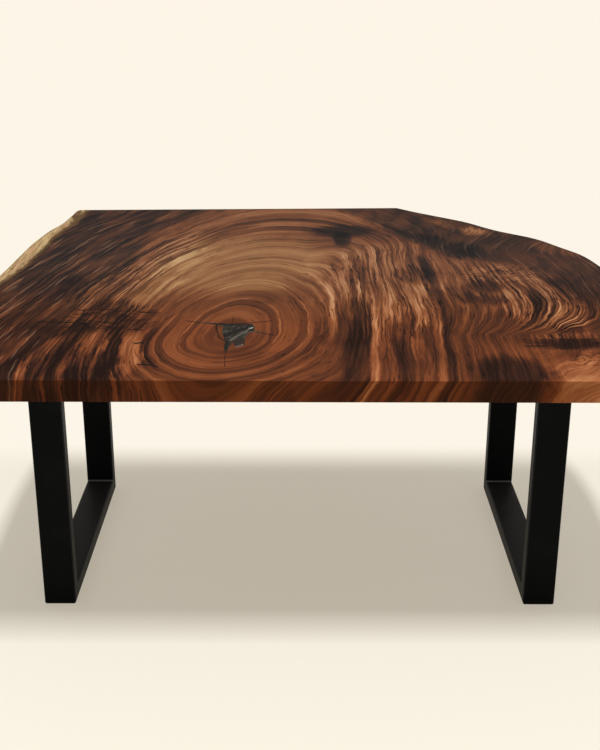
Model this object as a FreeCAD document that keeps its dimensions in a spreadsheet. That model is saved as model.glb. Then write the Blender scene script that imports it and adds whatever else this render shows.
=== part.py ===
import FreeCAD, Part
import math
import os
import Sketcher

# A live edge dining table: one thick slab of a large log on two welded legs of rectangular steel tube.
# The grain runs front to back. The two sides keep the log's own outline, the two ends are sawn.
# The origin is on the floor under the middle of the slab, X to the right, Y to the back, Z up.
# Lengths are in millimetres and angles in degrees.

doc = FreeCAD.newDocument("live_edge_table")
vector = FreeCAD.Vector

# Driving sizes

SIZES = (
    ("table_width", "1536", "widest line of the left live edge to that of the right one"),
    ("table_depth", "1524", "front saw cut to the rear right corner"),
    ("table_height", "750", "floor to top"),
    ("slab_thickness", "44", "planed thickness of the slab"),
    ("rear_saw_angle", "2.25", "turn of the rear saw cut from the front one"),
    ("rear_corner_inset", "484", "rear right corner, from the right end of the table's width"),
    ("arris_chamfer", "1.5", "eased corner of the four saw-cut arrises"),
    ("left_crown", "34", "how far the left edge rolls out below its top line"),
    ("left_undercut", "15", "how far the left edge turns in again at the bottom"),
    ("right_crown", "5", "the same roll of the steeper right edge"),
    ("right_undercut", "9", "the same turn in of the right edge"),
    ("knot_length", "208", "void of the large knot and its checks, along the grain"),
    ("knot_width", "165", "the same, across the grain"),
    ("knot_side_inset", "606.5", "middle of the void, from the left end of the table's width"),
    ("knot_front_inset", "258", "middle of the void, from the front saw cut"),
    ("leg_left_inset", "130.5", "outside of the left leg, from the left end of the table's width"),
    ("leg_right_inset", "162.5", "outside of the right leg, from the right end of the table's width"),
    ("leg_front_inset", "441.5", "front posts, from the front saw cut"),
    ("leg_rear_inset", "433.5", "rear posts, from the rear right corner"),
    ("tube_width", "76.2", "tube, wide side"),
    ("tube_height", "38.1", "tube, narrow side"),
    ("tube_wall", "3.2", "tube wall"),
    ("tube_corner", "4.8", "outer corner radius of the tube"),
    ("plate_thickness", "6", "mounting plate"),
    ("plate_corner", "6", "clipped corner of the mounting plate"),
    ("plate_row_spacing", "44", "between the two rows of slots, across the plate"),
    ("plate_hole_inset", "144.5", "first and last slot of a row, from the plate's end"),
    ("slot_width", "9", "slot for a screw"),
    ("slot_length", "15", "the same slot, end to end, across the grain"),
    ("screw_diameter", "8", "screw thread"),
    ("screw_head_flats", "13", "hexagon head, across its flats"),
    ("screw_head_height", "5.3", "hexagon head"),
    ("screw_length", "30", "screw under its head"),
    ("washer_width", "22", "washer, outside"),
    ("washer_thickness", "2", "washer"),
    ("insert_width", "13", "threaded insert, outside"),
    ("insert_length", "26", "threaded insert"),
    ("thread_clearance", "0.2", "round a screw or an insert in its hole"),
    ("hole_runout", "4", "drilled hole beyond the end of the insert or screw"),
    ("pad_length", "60", "glide pad, along the bar"),
    ("pad_width", "40", "glide pad, across the bar"),
    ("pad_thickness", "2", "glide pad"),
    ("pad_corner", "5", "clipped corner of the glide pad"),
    ("pad_inset", "20", "glide pad from the end of the bar"),
    ("channel_width", "40", "stiffening channel, over its flanges"),
    ("channel_height", "15", "channel, web and flange together"),
    ("channel_wall", "3", "channel wall"),
    ("channel_clearance", "0.3", "round the channel in its groove"),
    ("channel_hole_inset", "50", "first and last slot, from the channel's end"),
    ("front_channel_inset", "122", "middle of the front channel, from the front saw cut"),
    ("front_channel_left_inset", "158", "its left end, from the left end of the table's width"),
    ("front_channel_right_inset", "158", "its right end, from the right end of the table's width"),
    ("rear_channel_inset", "202", "middle of the rear channel, from the rear right corner"),
    ("rear_channel_left_inset", "118", "its left end, from the left end of the table's width"),
    ("rear_channel_right_inset", "378", "its right end, from the right end of the table's width"),
    ("overrun", "60", "how far the rough plank passes its saw cuts, and a cutter passes a face"),
)

sheet = doc.addObject("Spreadsheet::Sheet", "sizes")
for row, (alias, value, meaning) in enumerate(SIZES, start=1):
    sheet.set(f"A{row}", meaning)
    sheet.set(f"B{row}", value)
    sheet.setAlias(f"B{row}", alias)
doc.recompute()


def reading(expression):
    """The present value of an expression of the driving sizes."""
    return float(sheet.evalExpression(expression))


def bind(feature, **expressions):
    """Bind properties to expressions. A double underscore stands for the dot in a property's path."""
    for name, expression in expressions.items():
        feature.setExpression(name.replace("__", "."), expression)


def place(feature, across, along, up, turn=0):
    """Put a feature at a place given by three expressions, turned about the upright axis."""
    feature.Placement = FreeCAD.Placement(vector(), FreeCAD.Rotation(vector(0, 0, 1), turn))
    bind(feature, Placement__Base__x=across, Placement__Base__y=along, Placement__Base__z=up)


# Places that several pieces share, as expressions of the driving sizes

NONE = "0 * sizes.overrun"
SLAB_BOTTOM = "(sizes.table_height - sizes.slab_thickness)"
PLATE_BOTTOM = f"({SLAB_BOTTOM} - sizes.plate_thickness)"
POST_LENGTH = f"({PLATE_BOTTOM} - sizes.pad_thickness)"
LEG_DEPTH = "(sizes.table_depth - sizes.leg_front_inset - sizes.leg_rear_inset)"
LEG_CENTRE = "((sizes.leg_front_inset - sizes.leg_rear_inset) / 2)"
POST_OFFSET = f"(({LEG_DEPTH} - sizes.tube_height) / 2)"
LEG_MIDDLE = {
    "left": "(-(sizes.table_width - sizes.tube_width) / 2 + sizes.leg_left_inset)",
    "right": "((sizes.table_width - sizes.tube_width) / 2 - sizes.leg_right_inset)",
}
CHANNEL_MIDDLE = {
    "front": (
        "((sizes.front_channel_left_inset - sizes.front_channel_right_inset) / 2)",
        "(-sizes.table_depth / 2 + sizes.front_channel_inset)",
    ),
    "rear": (
        "((sizes.rear_channel_left_inset - sizes.rear_channel_right_inset) / 2)",
        "(sizes.table_depth / 2 - sizes.rear_channel_inset)",
    ),
}
SIDES = ("left", "right")
ENDS = ("front", "rear")
PLATE_ROWS = (-1, 1)
PLATE_STATIONS = (-0.5, 0.5)
PLATE_SPACING = f"(({LEG_DEPTH} - 2 * sizes.plate_hole_inset) / {len(PLATE_STATIONS) - 1})"
CHANNEL_STATIONS = (-1, 0, 1)


def plate_hole_places(side):
    """The slots of a mounting plate, across and along the table."""
    return [
        (
            f"{LEG_MIDDLE[side]} + {row} * sizes.plate_row_spacing / 2",
            f"{LEG_CENTRE} + {station} * {PLATE_SPACING}",
        )
        for row in PLATE_ROWS
        for station in PLATE_STATIONS
    ]


def channel_length(end):
    return f"(sizes.table_width - sizes.{end}_channel_left_inset - sizes.{end}_channel_right_inset)"


def channel_spacing(end):
    return f"(({channel_length(end)} - 2 * sizes.channel_hole_inset) / {len(CHANNEL_STATIONS) - 1})"


def channel_hole_places(end):
    """The slots of a stiffening channel, across and along the table."""
    across, along = CHANNEL_MIDDLE[end]
    return [(f"{across} + {station} * {channel_spacing(end)}", along) for station in CHANNEL_STATIONS]


# Sketches on a body's own planes

CUTS = []


def new_body(name):
    body = doc.addObject("PartDesign::Body", name)
    body.Label = name
    return body


def origin_feature(body, role):
    for feature in body.Origin.OriginFeatures:
        if feature.Role == role:
            return feature
    raise ValueError(f"{body.Label} has no {role}")


def new_sketch(body, name, role):
    sketch = body.newObject("Sketcher::SketchObject", name)
    sketch.AttachmentSupport = [(origin_feature(body, role), "")]
    sketch.MapMode = "FlatFace"
    return sketch


def dimension(sketch, kind, *points, expression):
    """Add one dimension and bind it to an expression."""
    index = sketch.addConstraint(Sketcher.Constraint(kind, *points, reading(expression)))
    sketch.setExpression(f"Constraints[{index}]", expression)


def draw_polygon(sketch, corners):
    """Straight lines through corners given as pairs of expressions. A zero lies on the axis."""
    origin, horizontal_axis, vertical_axis = -1, -1, -2
    first = sketch.GeometryCount
    points = [vector(reading(across), reading(up), 0) for across, up in corners]
    for start, end in zip(points, points[1:] + points[:1]):
        sketch.addGeometry(Part.LineSegment(start, end), False)
    for number, (across, up) in enumerate(corners):
        line = first + number
        previous = first + (number - 1) % len(corners)
        sketch.addConstraint(Sketcher.Constraint("Coincident", previous, 2, line, 1))
        if across == "0":
            sketch.addConstraint(Sketcher.Constraint("PointOnObject", line, 1, vertical_axis))
        else:
            dimension(sketch, "DistanceX", origin, 1, line, 1, expression=across)
        if up == "0":
            sketch.addConstraint(Sketcher.Constraint("PointOnObject", line, 1, horizontal_axis))
        else:
            dimension(sketch, "DistanceY", origin, 1, line, 1, expression=up)


def draw_rectangle(sketch, width, height):
    """A rectangle with sharp corners, centred on the sketch's origin, from two expressions."""
    across = f"{width} / 2"
    up = f"{height} / 2"
    draw_polygon(sketch, [(f"-{across}", f"-{up}"), (across, f"-{up}"), (across, up), (f"-{across}", up)])


def draw_clipped_rectangle(sketch, width, height, corner):
    """The same with its corners cut off at 45 degrees."""
    corners = []
    for right, upper in ((1, -1), (1, 1), (-1, 1), (-1, -1)):
        beside = (f"{right} * ({width} / 2)", f"{upper} * ({height} / 2 - {corner})")
        over = (f"{right} * ({width} / 2 - {corner})", f"{upper} * ({height} / 2)")
        corners += [over, beside] if right * upper < 0 else [beside, over]
    draw_polygon(sketch, corners)


def draw_rounded_rectangle(sketch, width, height, corner):
    """A rectangle with round corners, centred on the sketch's origin, from three expressions."""
    origin, centre = -1, 3
    first = sketch.GeometryCount
    radius = reading(corner)
    across = reading(width) / 2 - radius
    up = reading(height) / 2 - radius
    quarter = math.pi / 2
    for turn, (x, y) in enumerate(((across, -up), (across, up), (-across, up), (-across, -up))):
        angle = (turn - 1) * quarter
        outward = vector(math.cos(angle), math.sin(angle), 0) * radius
        side = vector(2 * x, 0, 0) if turn % 2 == 0 else vector(0, 2 * y, 0)
        middle = vector(x, y, 0)
        arc = Part.ArcOfCircle(Part.Circle(middle, vector(0, 0, 1), radius), angle, angle + quarter)
        sketch.addGeometry(Part.LineSegment(middle - side + outward, middle + outward), False)
        sketch.addGeometry(arc, False)
    for number in range(4):
        line = first + 2 * number
        following = first + (2 * number + 2) % 8
        sketch.addConstraint(Sketcher.Constraint("Tangent", line, 2, line + 1, 1))
        sketch.addConstraint(Sketcher.Constraint("Tangent", line + 1, 2, following, 1))
        sketch.addConstraint(Sketcher.Constraint("Vertical" if number % 2 else "Horizontal", line))
        if number:
            sketch.addConstraint(Sketcher.Constraint("Equal", first + 1, line + 1))
    sketch.addConstraint(Sketcher.Constraint("Symmetric", first + 1, centre, first + 5, centre, origin, 1))
    dimension(sketch, "DistanceX", first + 6, 1, first + 2, 1, expression=width)
    dimension(sketch, "DistanceY", first, 1, first + 4, 1, expression=height)
    dimension(sketch, "Radius", first + 1, expression=corner)


def draw_slot(sketch, across, along):
    """A slot along the sketch's first axis, as wide and long as the sheet says, at a place."""
    origin, centre = -1, 3
    first = sketch.GeometryCount
    radius = reading("sizes.slot_width / 2")
    reach = reading("(sizes.slot_length - sizes.slot_width) / 2")
    middle = vector(reading(across), reading(along), 0)
    up = vector(0, 0, 1)
    right = middle + vector(reach, 0, 0)
    left = middle - vector(reach, 0, 0)
    rise = vector(0, radius, 0)
    quarter = math.pi / 2
    sketch.addGeometry(Part.LineSegment(left - rise, right - rise), False)
    sketch.addGeometry(Part.ArcOfCircle(Part.Circle(right, up, radius), -quarter, quarter), False)
    sketch.addGeometry(Part.LineSegment(right + rise, left + rise), False)
    sketch.addGeometry(Part.ArcOfCircle(Part.Circle(left, up, radius), quarter, 3 * quarter), False)
    for number in range(4):
        sketch.addConstraint(Sketcher.Constraint("Tangent", first + number, 2, first + (number + 1) % 4, 1))
    sketch.addConstraint(Sketcher.Constraint("Horizontal", first))
    sketch.addConstraint(Sketcher.Constraint("Equal", first + 1, first + 3))
    dimension(sketch, "Radius", first + 1, expression="sizes.slot_width / 2")
    length = "sizes.slot_length - sizes.slot_width"
    dimension(sketch, "DistanceX", first + 3, centre, first + 1, centre, expression=length)
    end = f"{across} + (sizes.slot_length - sizes.slot_width) / 2"
    dimension(sketch, "DistanceX", origin, 1, first + 1, centre, expression=end)
    if along == "0":
        sketch.addConstraint(Sketcher.Constraint("PointOnObject", first + 1, centre, origin))
    else:
        dimension(sketch, "DistanceY", origin, 1, first + 1, centre, expression=along)


def pad_up(body, name, sketch, length, symmetric=False):
    pad = body.newObject("PartDesign::Pad", name)
    pad.Profile = sketch
    if symmetric:
        pad.SideType = "Symmetric"
    bind(pad, Length=length)
    return pad


def cut_through(body, name, sketch):
    """Cut the whole body with a sketch, on both sides of its plane."""
    base = body.Tip
    pocket = body.newObject("PartDesign::Pocket", name)
    pocket.Profile = sketch
    pocket.Type = "ThroughAll"
    pocket.SideType = "Symmetric"
    CUTS.append((base, pocket))
    return pocket


def repeat_along(body, name, feature, role, spacing, count):
    """Repeat a feature in a row that starts at the first copy's place."""
    pattern = body.newObject("PartDesign::LinearPattern", name)
    pattern.Originals = [feature]
    pattern.Direction = (origin_feature(body, role), [""])
    pattern.Occurrences = count
    bind(pattern, Length=f"{count - 1} * {spacing}")
    body.Tip = pattern
    CUTS.append((feature, pattern))
    return pattern


# Slab
# Sections of the rough plank at several depths are lofted into the rolled live edges, in narrow flats
# like those that a drawknife leaves. Each edge is a list of stations from the front to the back: along
# the half depth, across the half width, and how strongly the bark side rolls there. The rough plank
# passes both saw cuts, which then trim it.

LEFT_EDGE_SHARES = (
    (-1.10, -0.986, 0.8),
    (-0.81, -0.979, 0.9),
    (-0.62, -0.984, 1.1),
    (-0.42, -0.995, 1.0),
    (-0.22, -1.000, 0.9),
    (0.03, -0.996, 1.0),
    (0.24, -0.991, 1.1),
    (0.36, -0.990, 1.2),
    (0.46, -0.983, 1.1),
    (0.55, -0.974, 1.0),
    (0.63, -0.961, 0.9),
    (0.70, -0.944, 0.8),
    (0.80, -0.932, 0.7),
    (0.93, -0.926, 0.7),
    (1.10, -0.917, 0.7),
)
RIGHT_EDGE_SHARES = (
    (-1.10, 0.932, 1.0),
    (-0.91, 0.941, 1.2),
    (-0.73, 0.957, 1.4),
    (-0.55, 0.979, 1.2),
    (-0.38, 0.997, 1.0),
    (-0.235, 1.000, 1.0),
    (-0.08, 0.993, 1.2),
    (0.09, 0.974, 1.4),
    (0.26, 0.938, 1.2),
    (0.34, 0.898, 1.0),
    (0.425, 0.859, 0.9),
    (0.495, 0.816, 1.1),
    (0.545, 0.766, 1.3),
    (0.597, 0.716, 1.2),
    (0.665, 0.667, 1.0),
    (0.743, 0.617, 1.0),
    (0.80, 0.563, 1.2),
    (0.856, 0.507, 1.2),
    (0.912, 0.449, 1.0),
    (0.979, 0.391, 1.0),
    (1.05, 0.328, 1.0),
    (1.115, 0.267, 1.0),
)
SECTION_SHARES = (0, 0.07, 0.22, 0.45, 0.72, 0.93, 1)
WIDEST_SHARE = 0.45


def roll_inset(depth_share, crown, undercut):
    """How far a live edge lies inside its widest line at a depth: an elliptic roll above and below."""
    if depth_share < WIDEST_SHARE:
        rise = 1 - depth_share / WIDEST_SHARE
        return crown * (1 - math.sqrt(1 - rise**2))
    fall = (depth_share - WIDEST_SHARE) / (1 - WIDEST_SHARE)
    return undercut * (1 - math.sqrt(1 - fall**2))


def live_edge_curve(stations, depth_share, crown, undercut, inward):
    """The line that a live edge follows at one depth, as one smooth curve through its stations."""
    half_width = reading("sizes.table_width / 2")
    half_depth = reading("sizes.table_depth / 2")
    height = reading("sizes.table_height") - depth_share * reading("sizes.slab_thickness")
    lengths = [0.0]
    for start, end in zip(stations, stations[1:]):
        along_step = (end[0] - start[0]) * half_depth
        across_step = (end[1] - start[1]) * half_width
        lengths.append(lengths[-1] + math.hypot(along_step, across_step))
    points = []
    for along, across, roll in stations:
        inset = roll * roll_inset(depth_share, crown, undercut)
        points.append(vector(across * half_width + inward * inset, along * half_depth, height))
    curve = Part.BSplineCurve()
    curve.interpolate(Points=points, Parameters=[length / lengths[-1] for length in lengths])
    return curve


def plank_section(depth_share):
    """The closed outline of the rough plank at one depth."""
    left = live_edge_curve(
        LEFT_EDGE_SHARES, depth_share, reading("sizes.left_crown"), reading("sizes.left_undercut"), 1
    )
    right = live_edge_curve(
        RIGHT_EDGE_SHARES, depth_share, reading("sizes.right_crown"), reading("sizes.right_undercut"), -1
    )
    front = Part.LineSegment(left.StartPoint, right.StartPoint)
    rear = Part.LineSegment(left.EndPoint, right.EndPoint)
    return Part.Wire([front.toShape(), right.toShape(), rear.toShape(), left.toShape()])


def rough_plank():
    plank = doc.addObject("Part::Feature", "rough_plank")
    sections = [plank_section(share) for share in SECTION_SHARES]
    solid, ruled = True, True
    plank.Shape = Part.makeLoft(sections, solid, ruled)
    return plank


def make_offcut(name):
    """The waste beyond a saw cut, with lips that ease the slab's two arrises there."""
    body = new_body(name)
    profile = new_sketch(body, f"{name}_profile", "YZ_Plane")
    far = "-sizes.table_depth / 4"
    lip = "sizes.arris_chamfer + sizes.overrun"
    top = "sizes.slab_thickness"
    draw_polygon(
        profile,
        [
            (far, "-sizes.overrun"),
            (lip, "-sizes.overrun"),
            ("0", "sizes.arris_chamfer"),
            ("0", f"{top} - sizes.arris_chamfer"),
            (lip, f"{top} + sizes.overrun"),
            (far, f"{top} + sizes.overrun"),
        ],
    )
    pad_up(body, f"{name}_length", profile, "2 * (sizes.table_width + sizes.overrun)", symmetric=True)
    return body


def saw_off_ends(plank):
    """Trim both rough ends: square at the front, a little out of square behind."""
    front, rear = [make_offcut(f"{end}_offcut") for end in ENDS]
    corner = "sizes.table_width / 2 - sizes.rear_corner_inset"
    place(front, NONE, "-sizes.table_depth / 2", SLAB_BOTTOM)
    place(rear, corner, "sizes.table_depth / 2", SLAB_BOTTOM, turn=180 + reading("sizes.rear_saw_angle"))
    bind(rear, Placement__Rotation__Angle="180 + sizes.rear_saw_angle")
    both = doc.addObject("Part::MultiFuse", "offcuts")
    both.Shapes = [front, rear]
    sawn = doc.addObject("Part::Cut", "sawn_slab")
    sawn.Base = plank
    sawn.Tool = both
    CUTS.append((plank, sawn))
    return sawn


# Knot
# The void of the large knot goes right through. It is wide at the back and splits to the front into a
# long tail and a short lobe, with thin checks to both sides. Corners are shares of its half sizes.

KNOT_SHARES = (
    (-0.06, 0.81),
    (-0.39, 0.83),
    (-1.00, 1.00),
    (-0.44, 0.76),
    (-0.22, 0.71),
    (-0.21, 0.25),
    (-0.13, -0.12),
    (-0.08, -0.37),
    (-0.10, -0.62),
    (-0.03, -1.00),
    (0.05, -0.60),
    (0.09, -0.33),
    (0.21, -0.67),
    (0.41, -0.50),
    (0.39, -0.08),
    (0.45, 0.21),
    (0.56, 0.31),
    (1.00, 0.12),
    (0.60, 0.38),
    (0.61, 0.62),
    (0.53, 0.82),
)


def knot_prism(name, low, height):
    """The knot's void as a prism, from a low side to a height."""
    body = new_body(name)
    sketch = new_sketch(body, f"{name}_outline", "XY_Plane")
    corners = [
        (f"{across} * sizes.knot_width / 2", f"{along} * sizes.knot_length / 2")
        for across, along in KNOT_SHARES
    ]
    draw_polygon(sketch, corners)
    pad_up(body, f"{name}_depth", sketch, height)
    across = "-sizes.table_width / 2 + sizes.knot_side_inset"
    place(body, across, "-sizes.table_depth / 2 + sizes.knot_front_inset", low)
    return body


# Grooves and drilled holes of the slab


def groove_cutters(end):
    """The routed seat of a channel: a shallow recess for its web and two deep slots for its flanges."""
    across, along = CHANNEL_MIDDLE[end]
    length = f"({channel_length(end)} + 2 * sizes.channel_clearance)"
    flange_width = "(sizes.channel_wall + 2 * sizes.channel_clearance)"
    low = f"{SLAB_BOTTOM} - sizes.overrun"
    recess = doc.addObject("Part::Box", f"{end}_recess")
    width = "(sizes.channel_width + 2 * sizes.channel_clearance)"
    bind(recess, Length=length, Width=width, Height="sizes.channel_wall + sizes.overrun")
    place(recess, f"{across} - {length} / 2", f"{along} - {width} / 2", low)
    cutters = [recess]
    for number, flange in enumerate(("near", "far")):
        slot = doc.addObject("Part::Box", f"{end}_{flange}_flange_slot")
        height = "sizes.channel_height + sizes.channel_clearance + sizes.overrun"
        bind(slot, Length=length, Width=flange_width, Height=height)
        edge = f"{number} * ({width} - {flange_width})"
        place(slot, f"{across} - {length} / 2", f"{along} - {width} / 2 + {edge}", low)
        cutters.append(slot)
    return cutters


def drilled_holes(owner, places, width, depth):
    """Blind holes drilled from below to a depth in the slab."""
    holes = []
    for across, along in places:
        hole = doc.addObject("Part::Cylinder", f"{owner}_hole")
        bind(
            hole,
            Radius=f"{width} / 2 + sizes.thread_clearance",
            Height=f"{depth} + sizes.hole_runout + sizes.overrun",
        )
        place(hole, across, along, f"{SLAB_BOTTOM} - sizes.overrun")
        holes.append(hole)
    return holes


def make_slab():
    cutters = []
    for side in SIDES:
        holes = plate_hole_places(side)
        cutters += drilled_holes(f"{side}_insert", holes, "sizes.insert_width", "sizes.insert_length")
    for end in ENDS:
        holes = channel_hole_places(end)
        cutters += drilled_holes(f"{end}_screw", holes, "sizes.screw_diameter", "sizes.screw_length")
    for end in ENDS:
        cutters += groove_cutters(end)
    void_height = "sizes.slab_thickness + 2 * sizes.overrun"
    cutters.append(knot_prism("knot_void", f"{SLAB_BOTTOM} - sizes.overrun", void_height))
    all_cutters = doc.addObject("Part::MultiFuse", "slab_cutters")
    all_cutters.Shapes = cutters
    slab = doc.addObject("Part::Cut", "slab")
    slab.Label = "slab"
    slab.Base = saw_off_ends(rough_plank())
    slab.Tool = all_cutters
    CUTS.append((slab.Base, slab))
    return slab


# Tube legs


def draw_tube(sketch):
    draw_rounded_rectangle(sketch, "sizes.tube_width", "sizes.tube_height", "sizes.tube_corner")
    draw_rectangle(
        sketch,
        "(sizes.tube_width - 2 * sizes.tube_wall)",
        "(sizes.tube_height - 2 * sizes.tube_wall)",
    )


def make_post(name):
    """An upright, cut at the bottom to the mitre that it makes with the floor bar."""
    body = new_body(name)
    section = new_sketch(body, f"{name}_section", "XY_Plane")
    draw_tube(section)
    pad_up(body, f"{name}_tube", section, POST_LENGTH)
    mitre = new_sketch(body, f"{name}_mitre", "YZ_Plane")
    half = "sizes.tube_height / 2"
    draw_polygon(
        mitre,
        [
            (f"-{half} - sizes.overrun", "-sizes.overrun"),
            (f"{half} + sizes.overrun", "-sizes.overrun"),
            (f"{half} + sizes.overrun", "sizes.tube_height + sizes.overrun"),
        ],
    )
    cut_through(body, f"{name}_mitre_cut", mitre)
    return body


def make_floor_bar(name):
    """The bar on the floor, mitred at both ends."""
    body = new_body(name)
    section = new_sketch(body, f"{name}_section", "XZ_Plane")
    draw_tube(section)
    pad_up(body, f"{name}_tube", section, LEG_DEPTH, symmetric=True)
    half = "sizes.tube_height / 2"
    end = f"{LEG_DEPTH} / 2"
    for mitre_name, way in (("front", "-"), ("rear", "")):
        mitre = new_sketch(body, f"{name}_{mitre_name}_mitre", "YZ_Plane")
        draw_polygon(
            mitre,
            [
                (f"{way}1 * ({end} + sizes.overrun)", f"-{half} - sizes.overrun"),
                (f"{way}1 * ({end} - sizes.tube_height - sizes.overrun)", f"{half} + sizes.overrun"),
                (f"{way}1 * ({end} + sizes.overrun)", f"{half} + sizes.overrun"),
            ],
        )
        cut_through(body, f"{name}_{mitre_name}_mitre_cut", mitre)
    return body


def make_mounting_plate(name):
    """The plate across the posts' tops. Its slots let the slab swell and shrink across the grain."""
    body = new_body(name)
    outline = new_sketch(body, f"{name}_outline", "XY_Plane")
    draw_clipped_rectangle(outline, "sizes.tube_width", LEG_DEPTH, "sizes.plate_corner")
    pad_up(body, f"{name}_sheet", outline, "sizes.plate_thickness")
    slots = new_sketch(body, f"{name}_slots", "XY_Plane")
    for row in PLATE_ROWS:
        draw_slot(slots, f"{row} * sizes.plate_row_spacing / 2", f"{PLATE_STATIONS[0]} * {PLATE_SPACING}")
    pair = cut_through(body, f"{name}_slot_pair", slots)
    repeat_along(body, f"{name}_slot_rows", pair, "Y_Axis", PLATE_SPACING, len(PLATE_STATIONS))
    return body


def make_channel(name, end):
    """A stiffening channel: web down and flush with the slab, flanges up in their slots."""
    body = new_body(name)
    profile = new_sketch(body, f"{name}_profile", "YZ_Plane")
    half = "sizes.channel_width / 2"
    draw_polygon(
        profile,
        [
            (f"-{half}", "0"),
            (half, "0"),
            (half, "sizes.channel_height"),
            (f"{half} - sizes.channel_wall", "sizes.channel_height"),
            (f"{half} - sizes.channel_wall", "sizes.channel_wall"),
            (f"-{half} + sizes.channel_wall", "sizes.channel_wall"),
            (f"-{half} + sizes.channel_wall", "sizes.channel_height"),
            (f"-{half}", "sizes.channel_height"),
        ],
    )
    pad_up(body, f"{name}_length", profile, channel_length(end), symmetric=True)
    slots = new_sketch(body, f"{name}_slot", "XY_Plane")
    draw_slot(slots, f"{CHANNEL_STATIONS[0]} * {channel_spacing(end)}", "0")
    slot = cut_through(body, f"{name}_first_slot", slots)
    repeat_along(body, f"{name}_slot_row", slot, "X_Axis", channel_spacing(end), len(CHANNEL_STATIONS))
    return body


# Fasteners and pads, one of each kind, then placed in groups


def turn_profile(body, name, profile):
    """Turn a profile all round its upright axis."""
    turned = body.newObject("PartDesign::Revolution", name)
    turned.Profile = profile
    turned.ReferenceAxis = (profile, ["V_Axis"])
    turned.Angle = 360


def make_screw(name):
    """A hexagon head screw, upright, its head's seat at the origin."""
    body = new_body(name)
    profile = new_sketch(body, f"{name}_profile", "XZ_Plane")
    shank = "sizes.screw_diameter / 2"
    core = "-sizes.screw_head_height / 2"
    tip = "sizes.screw_length"
    draw_polygon(profile, [("0", core), (shank, core), (shank, tip), ("0", tip)])
    turn_profile(body, f"{name}_shank", profile)
    outline = new_sketch(body, f"{name}_head_outline", "XY_Plane")
    corner = "sizes.screw_head_flats / 2 / cos(30)"
    turns = [60 * number + 30 for number in range(6)]
    draw_polygon(outline, [(f"{corner} * cos({turn})", f"{corner} * sin({turn})") for turn in turns])
    head = pad_up(body, f"{name}_head", outline, "sizes.screw_head_height")
    head.Reversed = True
    return body


def make_washer(name):
    body = new_body(name)
    profile = new_sketch(body, f"{name}_profile", "XZ_Plane")
    hole = "sizes.slot_width / 2"
    rim = "sizes.washer_width / 2"
    draw_polygon(
        profile,
        [(hole, "0"), (rim, "0"), (rim, "sizes.washer_thickness"), (hole, "sizes.washer_thickness")],
    )
    turn_profile(body, f"{name}_turned", profile)
    return body


def make_insert(name):
    """A threaded insert, open at both ends."""
    body = new_body(name)
    profile = new_sketch(body, f"{name}_profile", "XZ_Plane")
    bore = "sizes.screw_diameter / 2 + sizes.thread_clearance"
    rim = "sizes.insert_width / 2"
    length = "sizes.insert_length"
    draw_polygon(profile, [(bore, "0"), (rim, "0"), (rim, length), (bore, length)])
    turn_profile(body, f"{name}_turned", profile)
    return body


def make_glide_pad(name):
    body = new_body(name)
    outline = new_sketch(body, f"{name}_outline", "XY_Plane")
    draw_clipped_rectangle(outline, "sizes.pad_width", "sizes.pad_length", "sizes.pad_corner")
    pad_up(body, f"{name}_sheet", outline, "sizes.pad_thickness")
    return body


def group(name, pattern, places, up):
    """Copies of one fastener or pad at several places, as one sub-part of separate solids."""
    links = []
    for number, (across, along) in enumerate(places, start=1):
        link = doc.addObject("App::Link", f"{name}_{number}")
        link.LinkedObject = pattern
        place(link, across, along, up)
        links.append(link)
    compound = doc.addObject("Part::Compound", name)
    compound.Label = name
    compound.Links = links
    return compound


# Assembly

screw = make_screw("hexagon_screw")
washer = make_washer("plate_washer")
insert = make_insert("threaded_insert")
glide_pad = make_glide_pad("glide_pad")

nodes = [make_slab(), knot_prism("knot_fill", SLAB_BOTTOM, "sizes.slab_thickness")]

for side in SIDES:
    middle = LEG_MIDDLE[side]
    front_post = make_post(f"{side}_front_post")
    place(front_post, middle, f"{LEG_CENTRE} - {POST_OFFSET}", "sizes.pad_thickness")
    rear_post = make_post(f"{side}_rear_post")
    place(rear_post, middle, f"{LEG_CENTRE} + {POST_OFFSET}", "sizes.pad_thickness", turn=180)
    floor_bar = make_floor_bar(f"{side}_floor_bar")
    place(floor_bar, middle, LEG_CENTRE, "sizes.pad_thickness + sizes.tube_height / 2")
    plate = make_mounting_plate(f"{side}_mounting_plate")
    place(plate, middle, LEG_CENTRE, PLATE_BOTTOM)
    holes = plate_hole_places(side)
    washer_bottom = f"{PLATE_BOTTOM} - sizes.washer_thickness"
    pad_reach = f"({LEG_DEPTH} / 2 - sizes.pad_inset - sizes.pad_length / 2)"
    pad_places = [(middle, f"{LEG_CENTRE} + {way} * {pad_reach}") for way in (-1, 1)]
    nodes += [front_post, rear_post, floor_bar, plate]
    nodes.append(group(f"{side}_plate_screws", screw, holes, washer_bottom))
    nodes.append(group(f"{side}_plate_washers", washer, holes, washer_bottom))
    nodes.append(group(f"{side}_plate_inserts", insert, holes, SLAB_BOTTOM))
    nodes.append(group(f"{side}_glide_pads", glide_pad, pad_places, NONE))

for end in ENDS:
    across, along = CHANNEL_MIDDLE[end]
    channel = make_channel(f"{end}_stiffener", end)
    place(channel, across, along, SLAB_BOTTOM)
    nodes.append(channel)
    nodes.append(group(f"{end}_stiffener_screws", screw, channel_hole_places(end), SLAB_BOTTOM))

doc.recompute()

# Checks, then one file for each sub-part

for item in doc.Objects:
    if "Invalid" in item.State or "Error" in item.State:
        raise RuntimeError(f"{item.Name} did not build: {item.State}")
for before, after in CUTS:
    if not after.Shape.Volume < before.Shape.Volume:
        raise RuntimeError(f"{after.Name} cut nothing")
for node in nodes:
    if node.Shape.isNull() or not node.Shape.isValid() or not node.Shape.Solids:
        raise RuntimeError(f"{node.Label} is not a valid solid")

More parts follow.
